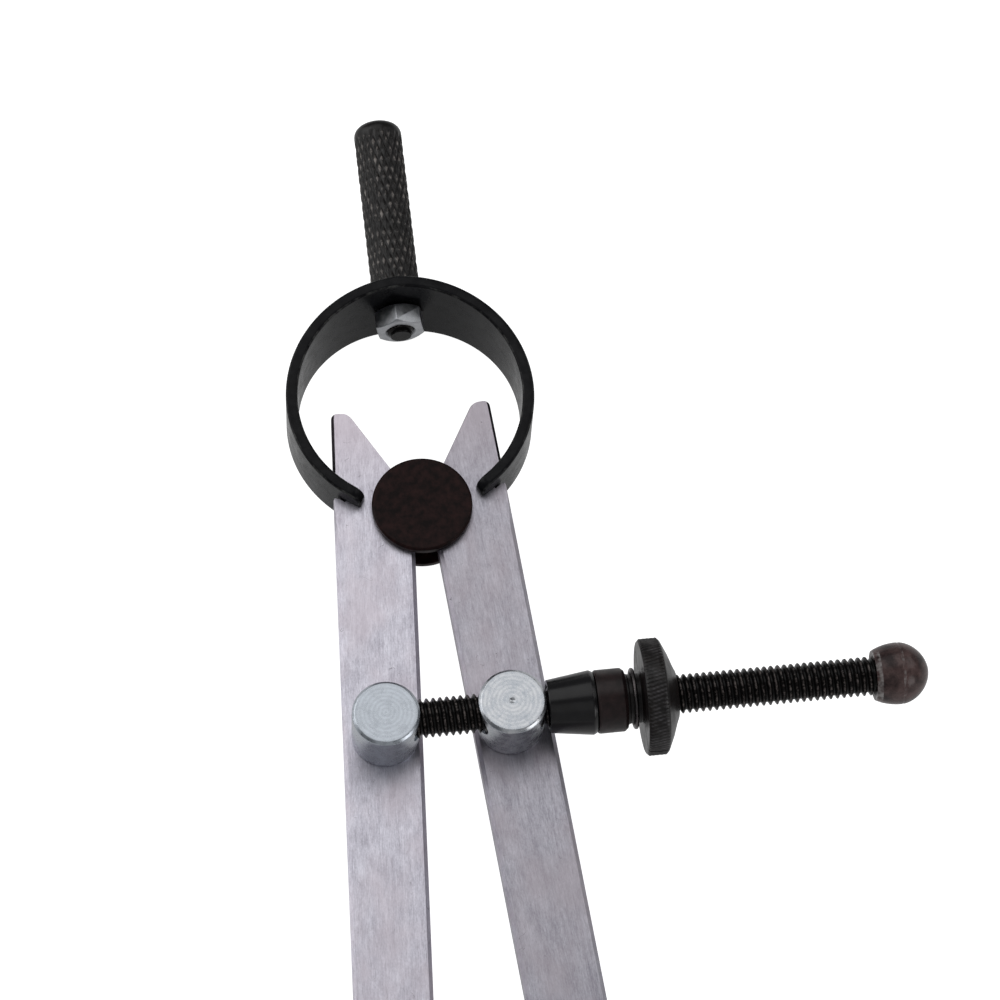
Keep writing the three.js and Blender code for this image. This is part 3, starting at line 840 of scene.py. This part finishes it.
def thread(radius, depth, pitch, start, end, segments=48):
    """A right-hand thread about +Z that runs out smoothly over one pitch at both ends."""
    form = ((0.0, 0.0), (0.1, 0.0), (0.34, 0.84), (0.42, 1.0), (0.56, 1.0), (0.64, 0.84), (0.88, 0.0))
    shape = Shape()
    steps = int(segments * ((end - start) / pitch + 2.5))
    for step in range(steps):
        angle = FULL_TURN * step / segments
        for phase, height in form:       # shares of the pitch and of the depth
            along = start - pitch + pitch * (step / segments + phase)
            fade = smooth_step((along - start) / pitch) * smooth_step((end - along) / pitch)
            reach = radius - depth * (1 - height * fade)
            where = (reach * math.cos(angle), reach * math.sin(angle), min(max(along, start), end))
            shape.point(where, height * fade)
    count = len(form)
    for step in range(steps - segments - 1):
        for number in range(count):
            low = step * count + number
            high = low + 1 if number < count - 1 else (step + segments) * count
            shape.faces.append([low, low + count, high + count, high])
    return shape


def knurled_grip(seat, top, dome):
    """The handle's turned outside with crossed grooves that leave long diamonds."""
    around = 22
    fine = 12                            # samples across each diamond, so grooves meet on points
    diamond = 3.2
    depth = 0.27
    bluntness = 1.35                     # above 1, the diamonds have flat tops
    chamfer = 0.35
    start = seat + chamfer
    length = top - dome - start
    rows = round(length / (diamond / fine))
    row_step = length / rows
    segments = around * fine
    shape = Shape()
    rings = [[shape.point((0, 0, seat))]]

    def ring(radius, height, cutting=0.0, row=0):
        numbers = []
        for step in range(segments):
            first = abs(((step + row) / fine) % 1 - 0.5) * 2
            second = abs(((step - row) / fine) % 1 - 0.5) * 2
            crest = min(1.0, bluntness * (1 - max(first, second)))
            reach = radius - depth * cutting * (1 - crest)
            angle = FULL_TURN * step / segments
            where = (reach * math.cos(angle), reach * math.sin(angle), height)
            numbers.append(shape.point(where, crest * cutting))
        return numbers

    rings.append(ring(HANDLE_RADIUS - chamfer - 0.1, seat))
    rings.append(ring(HANDLE_RADIUS - chamfer, seat))
    for row in range(rows + 1):
        cutting = smooth_step(row / 3) * smooth_step((rows - row) / 4)
        rings.append(ring(HANDLE_RADIUS, start + row * row_step, cutting, row))
    dome_steps = 12
    squareness = 0.75
    for step in range(1, dome_steps):
        turn = step / dome_steps * math.pi / 2
        rings.append(ring(HANDLE_RADIUS * math.cos(turn) ** squareness,
                          top - dome + dome * math.sin(turn) ** squareness))
    rings.append([shape.point((0, 0, top))])
    for low, high in zip(rings, rings[1:]):
        shape.band(low, high)
    return shape


def add_handle():
    """The knurled grip, and its threaded stud through the bow."""
    place = Matrix.Translation((0, 0, LEG_MID)) @ ALONG_Y
    seat = BOW_HIGH.y + GAP / 3
    dome = 2.2
    grip = to_object("handle_grip", knurled_grip(seat, HANDLE_HIGH.y, dome), place, sharp=180)
    finish_piece(grip, "head", "brown_black", OXIDE_GRIP, "handle")
    rod = thread(STUD_RADIUS, depth=0.4, pitch=0.7, start=HANDLE_LOW.y, end=seat + 1, segments=36)
    stud = to_object("handle_stud", rod, place)
    finish_piece(stud, "head", "brown_black", GLOSS_THREAD)


def add_handle_nut():
    """Hexagon nut with both faces coned off at the corners."""
    flats = 7
    corner = flats / math.sqrt(3)
    turn = math.radians(21)
    low, high = HEX_LOW.y, HEX_HIGH.y
    prism = Shape()
    rows = [[prism.point((corner * math.cos(turn + FULL_TURN * step / 6),
                          corner * math.sin(turn + FULL_TURN * step / 6), height))
             for step in range(6)] for height in (low, high)]
    prism.band(*rows)
    prism.faces += rows
    nut = to_object("handle_nut_hex", prism)
    face = flats / 2 - 0.1
    outside = corner + 0.4
    cone = 0.55
    envelope = to_object("envelope", turned([
        (0, low), (face, low), (outside, low + cone), (outside, high - cone), (face, high), (0, high),
    ], 128))
    combine(nut, envelope, "INTERSECT")
    soften_edges(nut, 0.07)
    hole = STUD_RADIUS + 0.05
    mouth = STUD_RADIUS + 1.2
    bore = to_object("bore", turned([
        (0, low - 1), (mouth, low - 1), (hole, low + 0.35), (hole, high + 1), (0, high + 1),
    ], 64))
    combine(nut, bore, "DIFFERENCE")
    nut.data.transform(Matrix.Translation((0, 0, LEG_MID)) @ ALONG_Y)
    shade(nut, 30)
    finish_piece(nut, "head", "zinc", ZINC, "handle_nut")


# ------------------------------------------------------------------ posts and screw

def add_post(side, name, body):
    """A turned post through its leg, bored for the screw and riveted over a washer behind the leg."""
    low, high = box(name)
    centre = Vector(((low.x + high.x) / 2, (low.y + high.y) / 2, 0))
    chamfer = 0.42
    broken_edge = 0.15
    foot = LEG_FRONT + GAP / 2
    head_top = LEG_BACK - 1.5 * GAP - WASHER_THICKNESS
    profile = [
        (0, low.z), (POST_HEAD - 0.6, low.z), (POST_HEAD, head_top - 0.35), (POST_HEAD, head_top),
        (POST_SHANK, head_top), (POST_SHANK, foot), (POST_RADIUS - broken_edge, foot),
        (POST_RADIUS, foot + broken_edge), (POST_RADIUS, high.z - chamfer),
        (POST_RADIUS - chamfer, high.z),
    ]
    dimple = [(0.5, high.z), (0.1, high.z - 0.14), (0, high.z - 0.14)]
    profile += dimple if side > 0 else [(0, high.z)]
    post = to_object(name + "_turned", turned(rounded(profile, 0.1), 128))
    start = SCREW_LOW.x - centre.x - GAP if side < 0 else -POST_RADIUS - 1     # blind on the left
    end = POST_RADIUS + 1
    drill = turned([(0, start), (BORE_RADIUS, start), (BORE_RADIUS, end), (0, end)], 72)
    hole = to_object("hole", drill, Matrix.Translation((0, 0, SCREW_AXIS.z)) @ ALONG_X)
    combine(post, hole, "DIFFERENCE")
    post.data.transform(Matrix.Translation(centre))
    shade(post, 38)
    material = zinc("zinc_" + name, POST_ZINC_LIGHT_PAINTED_BY_SIDE[side], POST_ZINC_DARK, 0.28, (centre.x, centre.y, 0))
    finish_piece(post, body, "zinc", material, name)
    washer_top = LEG_BACK - GAP / 2
    ring = [(WASHER_RADIUS, washer_top - WASHER_THICKNESS), (WASHER_RADIUS, washer_top)]
    washer = to_object(name + "_washer_disc", tube(ring, POST_SHANK + 0.1, 0.15),
                       Matrix.Translation(centre))
    finish_piece(washer, body, "zinc", ZINC, name + "_washer")


def add_screw():
    place = Matrix.Translation(SCREW_AXIS) @ ALONG_X
    rod = thread(SCREW_RADIUS, depth=0.52, pitch=1.0, start=SCREW_LOW.x, end=BALL_LOW.x + 0.4)
    screw = to_object("screw_thread", rod, place)
    finish_piece(screw, "screw_post", "gloss_black", GLOSS_THREAD, "adjusting_screw")


def add_ball():
    """Ball stop: bare bevel where the screw enters, a fine seam where it is widest, blunt free end."""
    radius = (BALL_HIGH.z - BALL_LOW.z) / 2
    length = BALL_HIGH.x - BALL_LOW.x
    widest = 0.46 * length
    mouth = 3.7
    bevel_end = 0.9
    bluntness = 1.86                     # 2 would be round
    seam_depth = 0.06
    profile = [Vector((0, 0.5)), Vector((SCREW_RADIUS - 0.2, 0.5)), Vector((SCREW_RADIUS + 0.1, 0.1)),
               Vector((mouth - 0.2, 0))]
    entry = math.asin(mouth / radius) - math.pi / 2
    seam_place = widest + 0.2
    steps = 48
    for step in range(steps + 1):
        turn = entry + (math.pi / 2 - entry) * step / steps
        reach = widest / math.sin(-entry) if turn < 0 else length - widest
        power = 1 if turn < 0 else 2 / bluntness
        height = widest + reach * math.copysign(abs(math.sin(turn)) ** power, turn)
        seam = seam_depth * math.exp(-((height - seam_place) / 0.12) ** 2)
        profile.append(Vector((radius * math.cos(turn) ** power - seam if step < steps else 0, height)))
    shape = turned(profile, 128)
    for number, point in enumerate(shape.points):
        on_bevel = point.z < bevel_end and point.xy.length > mouth - 0.1
        beside_seam = abs(point.z - seam_place) < 0.2
        shape.crests[number] = 1.0 if on_bevel else 0.8 * beside_seam
    place = Matrix.Translation((BALL_LOW.x, SCREW_AXIS.y, SCREW_AXIS.z)) @ ALONG_X
    ball = to_object("ball_stop", shape, place, sharp=30)
    finish_piece(ball, "screw_post", "brown_black", BALL_BROWN, "screw_ball")


# ------------------------------------------------------------------ quick-adjusting nut

def on_screw(start):
    """Lays a turned piece along the screw, from that place on."""
    return Matrix.Translation((start, SCREW_AXIS.y, SCREW_AXIS.z)) @ ALONG_X


def add_sleeve():
    low, high = box("nut_sleeve")
    length = high.x - low.x
    widest = (high.z - low.z) / 2
    nose = 3.9
    chamfer = 0.6
    outside = [(nose, 0), (widest, length - chamfer), (widest - 0.33, length)]
    sleeve = to_object("taper_sleeve", tube(outside, BORE_RADIUS, 0.14, 128), on_screw(low.x))
    finish_piece(sleeve, "nut_post", "gloss_black", GLOSS, "nut_sleeve")


def add_collar():
    low, high = box("nut_collar")
    length = high.x - low.x
    radius = (high.z - low.z) / 2
    bore = 4.0
    outside = [(radius - 0.1, 0.1 - GAP), (radius, 0.1), (radius, length - 0.5), (radius - 0.4, length)]
    collar = to_object("collar", tube(outside, bore, 0.1, 128), on_screw(low.x))
    finish_piece(collar, "nut_seat", "brown_black", OXIDE_COLLAR, "nut_collar")


def nut_profile(length, flange_radius):
    """The nut's closed section from its nose: [radius, height, row of the rim's knurl or None]."""
    nose, neck, bore = 3.75, 3.65, 3.05
    neck_start, flange_start, flange_end = 8.4, 10.4, 13.6
    rim = 0.38
    hollow = 0.12
    before = rounded([
        (bore + 0.3, 0), (nose - 0.3, 0), (nose, 0.5), (nose, neck_start - 0.1), (neck, neck_start),
        (neck, flange_start - 0.3), (neck + 0.35, flange_start),
        (flange_radius - rim - hollow, flange_start), (flange_radius - rim, flange_start),
        (flange_radius, flange_start + rim),
    ], 0.1)[:-1]
    rim_rows = 4
    rim_length = flange_end - flange_start - 2 * rim
    knurl = [(flange_radius, flange_start + rim + rim_length * row / rim_rows, row)
             for row in range(rim_rows + 1)]
    after = rounded([
        (flange_radius, flange_end - rim), (flange_radius - rim, flange_end), (6.2, flange_end + 0.95),
        (4.4, flange_end + 1.6), (3.5, length), (bore + 0.2, length), (bore, length - 0.3),
        (bore, 0.3), (bore + 0.3, 0),
    ], 0.12)[1:-1]
    plain = [(point.x, point.y, None) for point in before]
    return plain + knurl + [(point.x, point.y, None) for point in after]


def add_nut():
    """Both halves of the split nut, with a slanted single-direction knurl on the flange's rim."""
    low, high = box("nut_half_front", "nut_half_back")
    flange_radius = (high.y - low.y) / 2
    teeth = 88
    fine = 4
    depth = 0.16
    part = 0.15 / flange_radius          # half the open joint between the halves, as an angle
    section = nut_profile(high.x - low.x, flange_radius)
    steps = teeth * fine // 2
    for side, name in ((1, "nut_half_front"), (-1, "nut_half_back")):
        shape = Shape()
        rows = []
        for step in range(steps + 1):
            numbers = []
            for radius, height, row in section:
                angle = math.pi / 2 - side * math.pi / 2
                angle += part + (math.pi - 2 * part) * step / steps
                crest = 0.0
                if row is not None:
                    crest = 1 - abs((step + row) % fine - fine / 2) / (fine / 2)
                    radius -= depth * (1 - crest)
                where = (radius * math.cos(angle), radius * math.sin(angle), height)
                numbers.append(shape.point(where, crest))
            rows.append(numbers)
        for low_row, high_row in zip(rows, rows[1:]):
            shape.band(low_row, high_row)
        shape.faces += [rows[0], rows[-1]]
        place = on_screw(low.x) @ Matrix.Rotation(math.pi / 2, 4, "Z")
        half = to_object(name.replace("nut_", "split_nut_"), shape, place, sharp=42)
        finish_piece(half, "nut", "brown_black", OXIDE_NUT, name)


def add_nut_ring():
    """The wire ring in the nut's neck that holds its halves together."""
    low, high = box("nut_ring")
    wire = (high.x - low.x) / 2
    outer = (high.z - low.z) / 2
    section = [(outer - wire + wire * math.cos(a), wire + wire * math.sin(a))
               for a in (FULL_TURN * step / 16 for step in range(16))]
    ring = to_object("wire_ring", turned(section, 96, closed=True), on_screw(low.x))
    finish_piece(ring, "nut", "zinc", WIRE_PAINTED_SHADE, "nut_ring")


# ------------------------------------------------------------------ the scene

add_camera()
add_studio()
add_floor()
add_spool()
add_leg(-1, "left_leg")
add_leg(1, "right_leg")
add_bow()
add_handle()
add_handle_nut()
add_post(-1, "left_post", "screw_post")
add_post(1, "right_post", "nut_post")
add_screw()
add_ball()
add_sleeve()
add_collar()
add_nut()
add_nut_ring()
